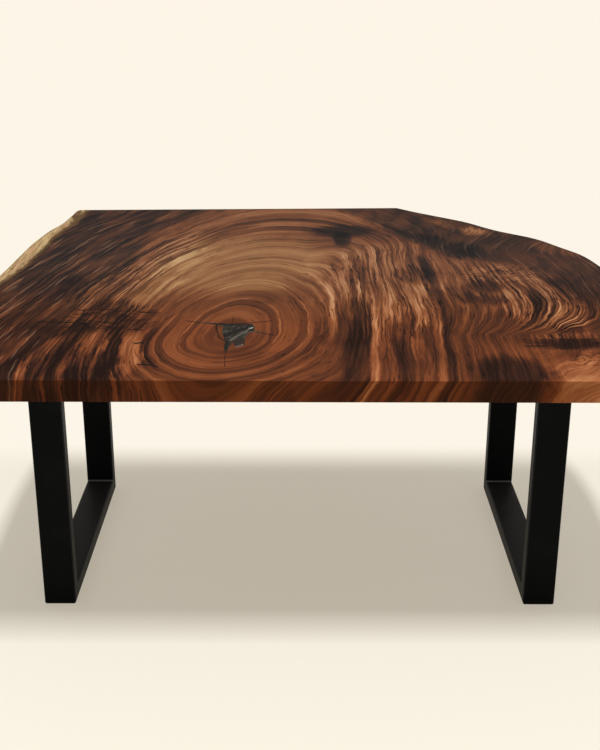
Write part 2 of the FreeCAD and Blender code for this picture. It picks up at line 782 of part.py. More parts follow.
os.makedirs("parts", exist_ok=True)
for node in nodes:
    node.Shape.exportStep(f"parts/{node.Label}.step")
    print(node.Label, len(node.Shape.Solids), round(node.Shape.Volume))
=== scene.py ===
import math

import bmesh
import bpy
from mathutils import Matrix, Vector, noise


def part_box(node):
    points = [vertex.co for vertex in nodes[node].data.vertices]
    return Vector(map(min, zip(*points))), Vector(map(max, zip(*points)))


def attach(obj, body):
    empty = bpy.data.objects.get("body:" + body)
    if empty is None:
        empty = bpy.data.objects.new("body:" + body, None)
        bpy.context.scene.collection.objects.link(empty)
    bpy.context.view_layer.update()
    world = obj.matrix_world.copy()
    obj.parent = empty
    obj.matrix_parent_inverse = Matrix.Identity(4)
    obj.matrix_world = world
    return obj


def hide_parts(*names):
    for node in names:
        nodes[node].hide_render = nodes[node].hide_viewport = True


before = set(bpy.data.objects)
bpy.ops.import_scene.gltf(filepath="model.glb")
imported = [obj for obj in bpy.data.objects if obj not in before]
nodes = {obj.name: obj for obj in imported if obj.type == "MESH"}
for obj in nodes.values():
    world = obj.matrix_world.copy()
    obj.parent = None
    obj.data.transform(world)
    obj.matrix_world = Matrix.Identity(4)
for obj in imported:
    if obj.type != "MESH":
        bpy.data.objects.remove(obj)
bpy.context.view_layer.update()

# Slab
# One plank of dark tropical hardwood, sawn along the log with a large knot in it. Both long sides keep
# the log's outline under its bark, both ends are sawn with eased arrises. Sanded fine and oiled satin.

# Lengths are in metres.
SLAB_LOW, SLAB_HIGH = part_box("slab")
THICKNESS = SLAB_HIGH.z - SLAB_LOW.z
WIDEST_DEPTH = 0.45 * THICKNESS
ROUGH_LENGTH = 0.03
STATION_STEP = 0.005
FLAT_STRIPS = (0.055, 0.03, 0.012)
ROLL_DEPTHS = (0.0, 0.03, 0.09, 0.18, 0.30, 0.45, 0.60, 0.75, 0.88, 0.97, 1.0)
ARRIS = 0.0012
ON_CUT = 0.0005
END_STRIP = 0.02
FEELER_START = 2.0
CLEAR_OF_SAW = 0.003
ENDS_LEFT_OUT = 2
SLOPE_SPAN = 6
SMOOTH_REACH = 4
SKIN = 0.0004
MERGE = 0.00001
RIPPLE_DEPTH = 0.0016
# Hollows, lengthwise ridges and small pits of the debarked edge: seed, waves along, waves up and height.
RIPPLES = ((7, 13, 30, 0.0013), (3, 22, 260, 0.0006), (11, 90, 190, 0.0003))


def rear_saw_line():
    """A point of the rear saw cut and its outward direction, felt on the CAD slab from behind."""
    middle = SLAB_HIGH.z - THICKNESS / 2
    felt = []
    for across in (SLAB_LOW.x / 2, SLAB_HIGH.x / 5):
        start = Vector((across, FEELER_START, middle))
        _, place, _, _ = nodes["slab"].ray_cast(start, Vector((0, -1, 0)))
        felt.append(place)
    run = felt[1] - felt[0]
    return felt[1], Vector((-run.y, run.x, 0)).normalized()


rear_point, rear_out = rear_saw_line()


def side_at(side, along, depth):
    """Where the CAD slab's left (-1) or right (1) side lies, at a place along it and below its top."""
    start = Vector((side * FEELER_START, along, SLAB_HIGH.z - depth))
    found, place, _, _ = nodes["slab"].ray_cast(start, Vector((-side, 0, 0)))
    if not found or (place - rear_point).dot(rear_out) > -CLEAR_OF_SAW:
        return None
    return place.x


def smooth_line(side, depth, stations):
    """The side's line at one depth, averaged over a few centimetres and carried straight past the ends."""
    deep = min(max(depth, SKIN), THICKNESS - SKIN)
    raw = [side_at(side, along, deep) for along in stations]
    known = [number for number, across in enumerate(raw) if across is not None]
    first, last = known[ENDS_LEFT_OUT], known[-ENDS_LEFT_OUT - 1]
    for number in range(len(raw)):
        if number < first or number > last:
            anchor, inward = (first, 1) if number < first else (last, -1)
            slope = (raw[anchor + SLOPE_SPAN * inward] - raw[anchor]) / (SLOPE_SPAN * inward)
            raw[number] = raw[anchor] + slope * (number - anchor)
    line = []
    for number in range(len(raw)):
        span = range(number - SMOOTH_REACH, number + SMOOTH_REACH + 1)
        nearby = [raw[min(max(k, 0), len(raw) - 1)] for k in span]
        line.append(sum(nearby) / len(nearby))
    return line


def roll_inset(depth_share, crown, undercut):
    """How far the live edge lies inside its widest line: an elliptic roll above it and below it."""
    widest = WIDEST_DEPTH / THICKNESS
    if depth_share < widest:
        return crown * (1 - math.sqrt(max(0.0, 1 - (1 - depth_share / widest) ** 2)))
    fall = (depth_share - widest) / (1 - widest)
    return undercut * (1 - math.sqrt(max(0.0, 1 - fall**2)))


def ripple(side, along, height):
    """How far the debarked edge rises or falls from its smooth roll. It never stands out past it."""
    relief = -RIPPLE_DEPTH
    for seed, lengthways, upwards, size in RIPPLES:
        relief -= size * noise.noise(Vector((side * seed, along * lengthways, height * upwards)))
    return relief


def rough_slab():
    """The plank as a grid wrapped round its cross-section, longer than both saw cuts."""
    start, end = SLAB_LOW.y - ROUGH_LENGTH, SLAB_HIGH.y + ROUGH_LENGTH
    count = round((end - start) / STATION_STEP)
    stations = [start + (end - start) * number / count for number in range(count + 1)]
    side_lines = {}
    for side in (-1, 1):
        for depth in (0.0, WIDEST_DEPTH, THICKNESS):
            side_lines[side, depth] = smooth_line(side, depth, stations)
    around = []
    for side in (-1, 1):
        half = [(side, "top", strip) for strip in FLAT_STRIPS]
        half += [(side, "roll", share) for share in ROLL_DEPTHS]
        half += [(side, "bottom", strip) for strip in reversed(FLAT_STRIPS)]
        around += half if side < 0 else reversed(half)
    plank = bmesh.new()
    edge = plank.verts.layers.float.new("bark_side")
    bmesh.ops.create_grid(plank, x_segments=len(around), y_segments=count, size=0.5)
    for vertex in plank.verts:
        number = round((vertex.co.y + 0.5) * count)
        side, zone, share = around[round((vertex.co.x + 0.5) * len(around)) % len(around)]
        along = stations[number]
        top, widest, bottom = [side_lines[side, depth][number] for depth in (0.0, WIDEST_DEPTH, THICKNESS)]
        crown, undercut = abs(widest - top), abs(widest - bottom)
        if zone == "top":
            vertex.co = (top - side * share, along, SLAB_HIGH.z)
            vertex[edge] = 0.5 - 0.5 * share / FLAT_STRIPS[0]
        elif zone == "bottom":
            vertex.co = (bottom - side * share, along, SLAB_LOW.z)
            vertex[edge] = 0.5 - 0.5 * share / FLAT_STRIPS[0]
        else:
            inset = roll_inset(share, crown, undercut)
            height = SLAB_HIGH.z - share * THICKNESS
            relief = ripple(side, along, height) * math.sin(math.pi * share) ** 0.5
            vertex.co = (widest - side * (inset - relief), along, height)
            vertex[edge] = 0.5 + 0.5 * min(1.0, 4 * share, 4 * (1 - share))
    bmesh.ops.remove_doubles(plank, verts=plank.verts, dist=MERGE)
    return plank


def cut_flat(plank, place, outward):
    """Cut the plank off at a plane, close the end, and part the end face near both live edges."""
    everything = plank.verts[:] + plank.edges[:] + plank.faces[:]
    bmesh.ops.bisect_plane(
        plank, geom=everything, plane_co=place, plane_no=outward, clear_outer=True, dist=MERGE
    )
    rim = [edge for edge in plank.edges if edge.is_boundary]
    near = [edge for edge in rim if abs((edge.verts[0].co - place).dot(outward)) < ON_CUT]
    end = bmesh.ops.holes_fill(plank, edges=near, sides=0)["faces"]
    tips = [side * max(side * vertex.co.x for vertex in end[0].verts) for side in (-1, 1)]
    for side, tip in zip((-1, 1), tips):
        for strip in FLAT_STRIPS:
            around = end + list({edge for face in end for edge in face.edges})
            around += list({vertex for face in end for vertex in face.verts})
            point = Vector((tip - side * (strip + END_STRIP), 0, 0))
            cut = bmesh.ops.bisect_plane(plank, geom=around, plane_co=point, plane_no=(1, 0, 0), dist=MERGE)
            end = [face for face in cut["geom"] if isinstance(face, bmesh.types.BMFace)]


def saw(plank, place, outward):
    """Saw the plank off square to its faces and ease the arrises above and below."""
    cut_flat(plank, place, outward)
    for level, rise in ((SLAB_HIGH.z - ARRIS, 1), (SLAB_LOW.z + ARRIS, -1)):
        cut_flat(plank, Vector((place.x, place.y, level)), (outward + Vector((0, 0, rise))).normalized())


# Where the left edge meets the front saw cut and the rear one.
FRONT_TIP_Y, REAR_TIP_Y = SLAB_LOW.y + 0.002, 0.71
front_tip = side_at(-1, FRONT_TIP_Y, WIDEST_DEPTH)
rear_tip = side_at(-1, REAR_TIP_Y, WIDEST_DEPTH)

plank = rough_slab()
front_point = Vector((0, SLAB_LOW.y, SLAB_HIGH.z))
saw(plank, front_point, Vector((0, -1, 0)))
saw(plank, rear_point, rear_out)
bmesh.ops.recalc_face_normals(plank, faces=plank.faces)


# Seats in the slab
# The void of the knot, routed grooves for two steel channels, and blind holes for the screws and the
# threaded inserts. Each is cut a little larger than what it takes.

CHANNEL_WALL = 0.003
CHANNEL_PLAY = 0.0003
SCREW_RADIUS = 0.004
INSERT_RADIUS = 0.0065
HOLE_PLAY = 0.0002
HOLE_SPARE = 0.004
BELOW = 0.05
ROD_SIDES = 32
SHARP_FROM = 32


def add_block(cutter, low, high):
    """A box between two corners, joined to a cutter."""
    made = bmesh.ops.create_cube(cutter, size=1.0)["verts"]
    size = Vector(high) - Vector(low)
    middle = (Vector(high) + Vector(low)) / 2
    bmesh.ops.transform(cutter, matrix=Matrix.Translation(middle) @ Matrix.Diagonal((*size, 1)), verts=made)


def add_rod(cutter, across, along, low, high, radius):
    """An upright rod, joined to a cutter."""
    made = bmesh.ops.create_cone(
        cutter, cap_ends=True, segments=ROD_SIDES, radius1=radius, radius2=radius, depth=high - low
    )["verts"]
    bmesh.ops.translate(cutter, vec=(across, along, (low + high) / 2), verts=made)


def loose_middles(node):
    """The middle of each separate solid of a CAD node, found by growing out from one vertex at a time."""
    solid = bmesh.new()
    solid.from_mesh(nodes[node].data)
    bmesh.ops.remove_doubles(solid, verts=solid.verts, dist=MERGE)
    left, middles = set(solid.verts), []
    while left:
        grown = [left.pop()]
        for vertex in grown:
            for edge in vertex.link_edges:
                other = edge.other_vert(vertex)
                if other in left:
                    left.remove(other)
                    grown.append(other)
        corners = [vertex.co.copy() for vertex in grown]
        low = Vector([min(corner[axis] for corner in corners) for axis in range(3)])
        high = Vector([max(corner[axis] for corner in corners) for axis in range(3)])
        middles.append((low + high) / 2)
    solid.free()
    return sorted(middles, key=lambda middle: (round(middle.x, 3), middle.y))


def seat_cutter():
    """Everything that is cut from the slab's underside, and the knot's void, as one mesh."""
    cutter = bmesh.new()
    low = SLAB_LOW.z
    for end in ("front", "rear"):
        first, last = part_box(f"{end}_stiffener")
        first, last = first - Vector((CHANNEL_PLAY,) * 3), last + Vector((CHANNEL_PLAY,) * 3)
        flange = CHANNEL_WALL + 2 * CHANNEL_PLAY
        add_block(cutter, (first.x, first.y, low - BELOW), (last.x, last.y, low + CHANNEL_WALL))
        for start in (first.y, last.y - flange):
            add_block(cutter, (first.x, start, low - BELOW), (last.x, start + flange, last.z))
        for middle in loose_middles(f"{end}_stiffener_screws"):
            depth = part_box(f"{end}_stiffener_screws")[1].z + HOLE_SPARE
            add_rod(cutter, middle.x, middle.y, low - BELOW, depth, SCREW_RADIUS + HOLE_PLAY)
    for side in ("left", "right"):
        for middle in loose_middles(f"{side}_plate_inserts"):
            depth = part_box(f"{side}_plate_inserts")[1].z + HOLE_SPARE
            add_rod(cutter, middle.x, middle.y, low - BELOW, depth, INSERT_RADIUS + HOLE_PLAY)
    knot = bmesh.new()
    knot.from_mesh(nodes["knot_fill"].data)
    bmesh.ops.remove_doubles(knot, verts=knot.verts, dist=MERGE)
    for vertex in knot.verts:
        vertex.co.z += BELOW if vertex.co.z > (low + SLAB_HIGH.z) / 2 else -BELOW
    passing = bpy.data.meshes.new("knot_void")
    knot.to_mesh(passing)
    knot.free()
    cutter.from_mesh(passing)
    mesh = bpy.data.meshes.new("seat_cutter")
    bmesh.ops.recalc_face_normals(cutter, faces=cutter.faces)
    cutter.to_mesh(mesh)
    cutter.free()
    return mesh


def new_piece(name, mesh, body="root"):
    """An object of the table that goes with the one body of its frame."""
    piece = bpy.data.objects.new(name, mesh)
    bpy.context.scene.collection.objects.link(piece)
    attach(piece, body)
    return piece


def finished_mesh(piece, name):
    """The piece's mesh with its modifiers applied."""
    graph = bpy.context.evaluated_depsgraph_get()
    graph.update()
    mesh = bpy.data.meshes.new_from_object(piece.evaluated_get(graph))
    mesh.name = name
    return mesh


slab_mesh = bpy.data.meshes.new("slab_rough")
plank.to_mesh(slab_mesh)
plank.free()
live_slab = new_piece("live_slab", slab_mesh)
seat_tool = new_piece("seat_tool", seat_cutter())
cut = live_slab.modifiers.new("seats", "BOOLEAN")
cut.operation = "DIFFERENCE"
cut.solver = "EXACT"
cut.use_self = True
cut.object = seat_tool
live_slab.data = finished_mesh(live_slab, "slab_cut")
live_slab.modifiers.clear()
bpy.data.objects.remove(seat_tool)
live_slab.data.shade_smooth()
live_slab.data.set_sharp_from_angle(angle=math.radians(SHARP_FROM))
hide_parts("slab")


# Oiled wood
# The figure is the log's rings where the saw met them: long ovals round the knot that lean and open
# towards the back, a second swirl where a limb left on the right, and dark heartwood down both sides.


class Finish:
    """A surface finish, built up from shader nodes by short calls that give back their result."""

    def __init__(self, name):
        self.material = bpy.data.materials.new(name)
        self.material.use_nodes = True
        self.tree = self.material.node_tree
        self.shader = self.tree.nodes["Principled BSDF"]

    def feed(self, socket, value):
        """Link a socket to another's result, or set it to a constant."""
        if isinstance(value, bpy.types.NodeSocket):
            self.tree.links.new(value, socket)
        else:
            socket.default_value = value

    def add(self, kind, feeds, output=0, **settings):
        node = self.tree.nodes.new("ShaderNode" + kind)
        for name, value in settings.items():
            setattr(node, name, value)
        for key, value in feeds.items():
            self.feed(node.inputs[key], value)
        return node.outputs[output]

    def sum(self, operation, first, second=0.0, third=0.0):
        return self.add("Math", {0: first, 1: second, 2: third}, operation=operation)

    def times(self, first, second):
        return self.sum("MULTIPLY", first, second)

    def less(self, first, second):
        return self.sum("SUBTRACT", first, second)

    def layer(self, value, share, base):
        """A share of a value, laid onto a base."""
        return self.sum("MULTIPLY_ADD", value, share, base)

    def centred(self, value):
        """A noise that runs from 0 to 1, moved so that its middle is nothing."""
        return self.less(value, 0.5)

    def apart(self, value, line):
        """How far a value is from a line, to either side."""
        return self.sum("ABSOLUTE", self.less(value, line))

    def length(self, vector):
        return self.add("VectorMath", {0: vector}, output="Value", operation="LENGTH")

    def place(self):
        return self.add("TexCoord", {}, output="Object")

    def parts(self, vector):
        node = self.tree.nodes.new("ShaderNodeSeparateXYZ")
        self.tree.links.new(vector, node.inputs[0])
        return node.outputs[0], node.outputs[1], node.outputs[2]

    def point(self, across, along, up=0.0):
        return self.add("CombineXYZ", {0: across, 1: along, 2: up})

    def moved(self, vector, middle=(0, 0, 0), turn=0.0, scale=(1, 1, 1)):
        """The same place seen from a middle, turned, and stretched by a scale."""
        return self.add(
            "Mapping",
            {"Vector": vector, "Location": middle, "Rotation": (0, 0, turn), "Scale": scale},
            vector_type="TEXTURE",
        )

    def noise(self, vector, scale=1.0, detail=2.0, rough=0.5, twist=0.0):
        feeds = {"Vector": vector, "Scale": scale, "Detail": detail, "Roughness": rough}
        return self.add("TexNoise", {**feeds, "Distortion": twist})

    def soften(self, value, low, high):
        """0 below low, 1 above high and a smooth rise between; low may also be the larger."""
        feeds = {"Value": value, "From Min": low, "From Max": high}
        return self.add("MapRange", feeds, interpolation_type="SMOOTHSTEP")

    def near(self, vector, middle, half, outer, inner, turn=0.0):
        """1 in the middle of an oval patch and 0 outside it, with a soft rim between."""
        if turn:
            local = self.moved(vector, middle=(*middle, 0), turn=turn, scale=(*half, 1))
        else:
            # The same without a turn. It takes less of the renderer's memory for one shader.
            size = (1 / half[0], 1 / half[1], 1)
            shift = (-middle[0] / half[0], -middle[1] / half[1], 0)
            local = self.add("VectorMath", {0: vector, 1: size, 2: shift}, operation="MULTIPLY_ADD")
        return self.soften(self.length(local), outer, inner)

    def stroke(self, vector, start, end):
        """The share of the way from start to end, and how far to the left of the straight line."""
        start, run = Vector(start), Vector(end) - Vector(start)
        turn = math.atan2(run.y, run.x)
        local = self.moved(vector, middle=(*start, 0), turn=turn, scale=(run.length, 1, 1))
        return self.parts(local)[:2]

    def mix(self, share, first, second, blend="MIX"):
        node = self.tree.nodes.new("ShaderNodeMix")
        node.data_type = "RGBA"
        node.blend_type = blend
        self.feed(node.inputs["Factor"], share)
        self.feed(node.inputs[6], first)
        self.feed(node.inputs[7], second)
        return node.outputs[2]

    def bump(self, height, depth, strength):
        return self.add("Bump", {"Height": height, "Distance": depth, "Strength": strength})

    def surface(self, values):
        """Set or link the shader's own sockets by their names."""
        for name, value in values.items():
            self.feed(self.shader.inputs[name], value)

    def wear(self, piece):
        """Put this finish on all of a piece."""
        piece.data.materials.clear()
        piece.data.materials.append(self.material)


KNOT_X, KNOT_Y = -0.161, -0.500
OVAL_LEAN = 0.094
OVAL_BACK, OVAL_FRONT, OVAL_RIGHT = 3.1, 1.75, 1.2
RING_TAPER = 0.25
GRAIN_TILT = 0.35
LIMB_Y = -0.262
LIMB_LEFT, LIMB_RIGHT = 0.24, 0.50
LIMB_BACK, LIMB_FRONT = 0.90, 0.225
LIMB_SHIFT = 0.19

# Where the dark heartwood of the left side ends and that of the right side starts, as places along the
# grain and across it.
LEFT_HEART = ((-0.76, -0.52), (-0.42, -0.56), (-0.22, -0.49), (-0.10, -0.455), (0.34, -0.455))
LEFT_HEART += ((0.50, -0.42), (0.60, -0.36), (0.76, -0.32))
RIGHT_HEART = ((-0.76, 0.66), (-0.47, 0.61), (-0.32, 0.625), (-0.12, 0.585), (0.04, 0.55), (0.10, 0.50))
RIGHT_HEART += ((0.145, 0.40), (0.19, 0.36), (0.33, 0.295), (0.43, 0.235), (0.53, 0.20), (0.76, 0.09))

# Soft patches: middle across and along, half width, half length, lean in degrees, how much lighter,
# how much more streaked, and how golden.
PATCHES = (
    ("left front streaks", -0.430, -0.590, 0.14, 0.24, 0, -0.27, 0.44, 0),
    ("dark foot of the streaks", -0.420, -0.740, 0.06, 0.08, 0, -0.20, 0, 0),
    ("orange streak, far left", -0.545, -0.690, 0.014, 0.09, 0, 0.18, 0, 0),
    ("orange streak, left", -0.432, -0.525, 0.030, 0.075, 3, 0.24, -0.25, 0),
    ("orange streak by the knot", -0.344, -0.600, 0.028, 0.14, 5, 0.42, -0.30, 0),
    ("dark streak between them", -0.395, -0.560, 0.018, 0.20, 3, -0.22, 0, 0),
    ("dark streak, far left", -0.490, -0.640, 0.020, 0.16, -3, -0.20, 0, 0),
    ("dark pocket left of the knot", -0.436, -0.306, 0.050, 0.07, 0, -0.20, 0.3, 0),
    ("pocket at the left front", -0.530, -0.446, 0.075, 0.05, 0, -0.14, 0, 0),
    ("shoulder", -0.400, 0.100, 0.085, 0.40, -17, 0.05, 0.42, 0.2),
    ("golden ribbon", -0.345, -0.070, 0.045, 0.30, -13, 0.09, 0, 0.8),
    ("golden heart", -0.150, 0.105, 0.20, 0.31, -4, 0.19, -0.06, 1.0),
    ("golden heart, right", 0.030, 0.080, 0.045, 0.12, 0, 0.09, 0, 0),
    ("golden end", -0.375, -0.250, 0.030, 0.05, 0, 0.13, 0, 0),
    ("golden foot", -0.325, -0.130, 0.045, 0.10, -14, 0.10, 0, 0.4),
    ("cathedral", -0.040, 0.660, 0.12, 0.07, 0, 0.07, -0.12, 0.2),
    ("dark left of the cathedral", -0.300, 0.660, 0.09, 0.13, -10, -0.09, 0, 0),
    ("behind the heart", -0.150, 0.510, 0.13, 0.09, 0, 0.08, 0, 0),
    ("dark on the left", -0.515, -0.115, 0.06, 0.07, 0, -0.10, 0, 0),
    ("knot", -0.150, -0.400, 0.16, 0.26, 0, 0.02, -0.12, -0.4),
    ("brown right of the knot", 0.072, -0.470, 0.050, 0.12, 0, -0.17, 0, 0),
    ("brown before the knot", -0.065, -0.615, 0.10, 0.045, 0, -0.07, 0, 0),
    ("brown above the knot", -0.105, -0.215, 0.060, 0.060, 0, -0.08, 0, 0),
    ("core of the knot", -0.150, -0.500, 0.065, 0.130, 0, -0.07, -0.14, 0),
    ("rear knot", 0.086, 0.450, 0.090, 0.072, 0, -0.36, -0.2, 0),
    ("strip at the back", -0.030, 0.640, 0.42, 0.12, 0, 0.05, 0, 0),
    ("tail of the rear knot", 0.084, 0.350, 0.028, 0.085, 0, -0.36, -0.2, 0),
    ("brown behind the stripes", 0.230, 0.410, 0.085, 0.11, 8, -0.12, 0, 0),
    ("middle stripes", 0.170, -0.100, 0.17, 0.50, 0, 0.07, 0.24, 0.1),
    ("pale stretch of the middle stripes", 0.190, -0.260, 0.075, 0.10, 0, 0.12, 0, 0),
    ("dark pocket in the stripes", 0.278, -0.020, 0.050, 0.08, 4, -0.22, 0, 0),
    ("pale before the pocket", 0.330, -0.085, 0.055, 0.065, 0, 0.11, 0, 0),
    ("between the stripes", 0.200, -0.560, 0.13, 0.15, 0, -0.14, 0, 0),
    ("dark wood, right front", 0.375, -0.720, 0.075, 0.095, 0, -0.36, 0, 0),
    ("charcoal, right back", 0.385, 0.275, 0.055, 0.17, 31, -0.15, 0, 0),
    ("golden fleck", 0.480, 0.440, 0.040, 0.06, 25, 0.30, 0, 0.5),
    ("brown rim, right back", 0.420, 0.540, 0.035, 0.12, 38, 0.18, 0, 0),
    ("reddish rim", 0.655, 0.255, 0.055, 0.10, 32, 0.22, 0, 0),
    ("eyes", 0.495, 0.000, 0.10, 0.09, 0, 0.08, 0.30, 0),
    ("dark pocket in the swirl", 0.424, -0.110, 0.045, 0.06, 0, -0.26, 0, 0),
    ("its neighbour below", 0.410, -0.225, 0.070, 0.04, 0, -0.20, 0, 0),
    ("swirl", 0.540, -0.280, 0.110, 0.22, 0, 0.0, 0.74, 0),
    ("under the swirl", 0.400, -0.440, 0.10, 0.12, 0, -0.12, 0, 0),
    ("pocket below the swirl", 0.544, -0.450, 0.038, 0.028, 0, -0.24, 0, 0),
    ("burl, right front", 0.520, -0.710, 0.085, 0.09, 0, 0.17, 0, -0.4),
    ("bright end of the burl", 0.560, -0.780, 0.12, 0.045, 0, 0.18, 0, 0),
)

wood = Finish("oiled_wood")
spot = wood.place()
across, along, height = wood.parts(spot)
depth = wood.less(SLAB_HIGH.z, height)

# The log wandered as it grew, so every place is first shifted by slow and quick waves.
slow = wood.noise(wood.moved(spot, scale=(0.40, 0.95, 0.40)), detail=1.0)
quick = wood.noise(wood.moved(spot, scale=(0.085, 0.26, 0.085)))
tiny = wood.noise(wood.moved(spot, scale=(0.018, 0.045, 0.018)), detail=1.0)
sway = wood.layer(depth, GRAIN_TILT, across)
sway = wood.layer(wood.centred(slow), 0.09, sway)
sway = wood.layer(wood.centred(quick), 0.026, sway)
sway = wood.layer(wood.centred(tiny), 0.006, sway)

centre = wood.layer(wood.less(along, KNOT_Y), OVAL_LEAN, KNOT_X)
beside = wood.less(sway, centre)
right = wood.sum("DIVIDE", wood.sum("MAXIMUM", beside, 0.0), OVAL_RIGHT)
beside = wood.sum("ADD", wood.sum("MINIMUM", beside, 0.0), right)
beyond = wood.less(along, KNOT_Y)
back = wood.sum("DIVIDE", wood.sum("MAXIMUM", beyond, 0.0), OVAL_BACK)
front = wood.sum("DIVIDE", wood.sum("MINIMUM", beyond, 0.0), OVAL_FRONT)
oval = wood.length(wood.point(beside, back, front))
oval = wood.layer(depth, RING_TAPER, oval)

# Right of the knot the grain runs straight, up to where it bends round the limb.
straight = wood.times(wood.soften(sway, -0.02, 0.16), wood.soften(along, 0.50, 0.15))
bend = wood.sum("MAXIMUM", wood.less(-0.12, along), 0.0)
run = wood.layer(wood.times(bend, bend), 0.10, wood.sum("ADD", sway, 0.12))
run = wood.layer(depth, RING_TAPER, run)

# On the far right the lines bulge round a limb: they lean to the left away from its middle, and in front
# of it they hook sharply to the left and then run on closer together.
waver = wood.layer(wood.centred(quick), 0.16, along)
limb_back = wood.sum("DIVIDE", wood.sum("MAXIMUM", wood.less(along, LIMB_Y), 0.0), LIMB_BACK)
limb_front = wood.sum("DIVIDE", wood.less(LIMB_Y, waver), LIMB_FRONT)
share = wood.add("Clamp", {"Value": limb_front, "Max": 0.96})
arc = wood.sum("SQRT", wood.less(1.0, wood.times(share, share)))
arc = wood.less(1.0, arc)
arc = wood.layer(limb_back, limb_back, arc)
aside = wood.times(wood.soften(sway, LIMB_LEFT, LIMB_RIGHT), LIMB_SHIFT)
run = wood.layer(arc, aside, run)
ring = wood.layer(wood.less(run, oval), straight, oval)


def lines(fine, short, seed, **kind):
    """Noise drawn along the rings: how fine it is across them and how short along the grain."""
    return wood.noise(wood.point(wood.times(ring, fine), wood.times(along, short), seed), **kind)


# Rings run unbroken round the knot. Farther out they break up into streaks along the grain.
rings = lines(62.0, 1.2, 0.0, detail=5.0, rough=0.62)
streaks = lines(75.0, 2.4, 5.0, detail=6.0, rough=0.68, twist=0.25)
outside = wood.soften(oval, 0.14, 0.24)
figure = wood.layer(wood.less(streaks, rings), outside, rings)
figure = wood.centred(wood.soften(figure, 0.30, 0.70))

# At the right front the grain turns aside and runs up to the right in broad soft bands.
slant = wood.layer(across, -1.3, along)
slant = wood.layer(depth, -1.56, slant)
slant = wood.layer(quick, 0.14, slant)
bands = wood.point(wood.times(slant, 30.0), wood.times(sway, 5.0), 11.0)
bands = wood.centred(wood.soften(wood.noise(bands, detail=4.0), 0.32, 0.68))
turned = wood.times(wood.soften(across, 0.43, 0.53), wood.soften(along, -0.56, -0.62))
figure = wood.layer(wood.less(bands, figure), turned, figure)

# The patches' rims are frayed by the figure itself, least at the right front.
fray = wood.noise(wood.moved(spot, scale=(0.030, 0.10, 0.05)), detail=4.0, rough=0.6)
frayed_x = wood.layer(wood.centred(fray), 0.06, sway)
calm = wood.times(wood.soften(across, 0.22, 0.32), wood.soften(along, -0.40, -0.52))
frayed_y = wood.layer(figure, wood.layer(calm, -0.055, 0.07), along)
frayed = wood.point(frayed_x, frayed_y)
tone, swing, gold = 0.50, 0.36, 0.0
for _, middle_x, middle_y, half_width, half_length, lean, lift, stir, gilt in PATCHES:
    middle, half = (middle_x, middle_y), (half_width, half_length)
    reach = wood.near(frayed, middle, half, 1.30, 0.60, math.radians(lean))
    tone = wood.layer(reach, lift, tone)
    if stir:
        swing = wood.layer(reach, stir, swing)
    if gilt:
        gold = wood.layer(reach, gilt, gold)

# Stripes that follow the straight grain at the front right: grain line, half width, from, to and lift.
STRIPES = (
    ("dark middle", 0.250, 0.014, 0.14, -0.08, -0.20),
    ("thin bright", 0.179, 0.007, -0.08, -0.52, 0.18),
    ("dark, front", 0.240, 0.027, -0.24, -0.80, -0.25),
    ("bright, front", 0.274, 0.009, -0.36, -0.80, 0.26),
    ("second dark, front", 0.330, 0.019, -0.50, -0.80, -0.18),
    ("second bright", 0.409, 0.011, -0.40, -0.80, 0.24),
    ("long dark", 0.428, 0.013, 0.16, -0.80, -0.30),
)
STRIPE_FADE = 0.04
for _, line, half_width, start, end, lift in STRIPES:
    stripe = wood.soften(wood.apart(run, line), 1.4 * half_width, 0.5 * half_width)
    stripe = wood.times(stripe, wood.soften(along, start + STRIPE_FADE, start - STRIPE_FADE))
    stripe = wood.times(stripe, wood.soften(along, end - STRIPE_FADE, end + STRIPE_FADE))
    tone = wood.layer(stripe, lift, tone)

# Rings at the back that arch over the golden heart.
arch = wood.soften(along, 0.12, 0.30)
open_oval = wood.layer(along, -0.135, oval)
dark_ring = wood.soften(wood.apart(open_oval, 0.278), 0.015, 0.006)
dark_ring = wood.times(dark_ring, wood.soften(across, 0.10, -0.02))
light_ring = wood.soften(wood.apart(oval, 0.395), 0.022, 0.008)
tone = wood.layer(wood.times(dark_ring, arch), -0.09, tone)
tone = wood.layer(wood.times(light_ring, arch), 0.06, tone)

CURVE_REACH = 0.8


def edge_curve(points):
    """A position across the slab as a smooth function of the place along it."""
    node = wood.tree.nodes.new("ShaderNodeFloatCurve")
    curve = node.mapping.curves[0]
    while len(curve.points) < len(points):
        curve.points.new(0.5, 0.5)
    for point, (where, value) in zip(curve.points, points):
        point.location = [(place + CURVE_REACH) / (2 * CURVE_REACH) for place in (where, value)]
    node.mapping.update()
    share = wood.sum("DIVIDE", wood.sum("ADD", frayed_y, CURVE_REACH), 2 * CURVE_REACH)
    wood.feed(node.inputs["Value"], share)
    return wood.layer(node.outputs[0], 2 * CURVE_REACH, -CURVE_REACH)


left_dark = wood.soften(wood.less(frayed_x, edge_curve(LEFT_HEART)), 0.045, -0.035)
right_dark = wood.soften(wood.less(frayed_x, edge_curve(RIGHT_HEART)), -0.030, 0.030)
heart = wood.sum("MAXIMUM", left_dark, right_dark)
tone = wood.layer(left_dark, -0.25, tone)
tone = wood.layer(right_dark, -0.24, tone)
swing = wood.layer(left_dark, 0.05, swing)
blotch = wood.noise(wood.moved(frayed, turn=-0.35, scale=(0.045, 0.20, 1)))
blotch = wood.centred(wood.soften(blotch, 0.36, 0.64))
tone = wood.layer(wood.times(blotch, heart), 0.15, tone)
swing = wood.layer(right_dark, -0.20, swing)
tone = wood.sum("ADD", tone, wood.times(figure, swing))

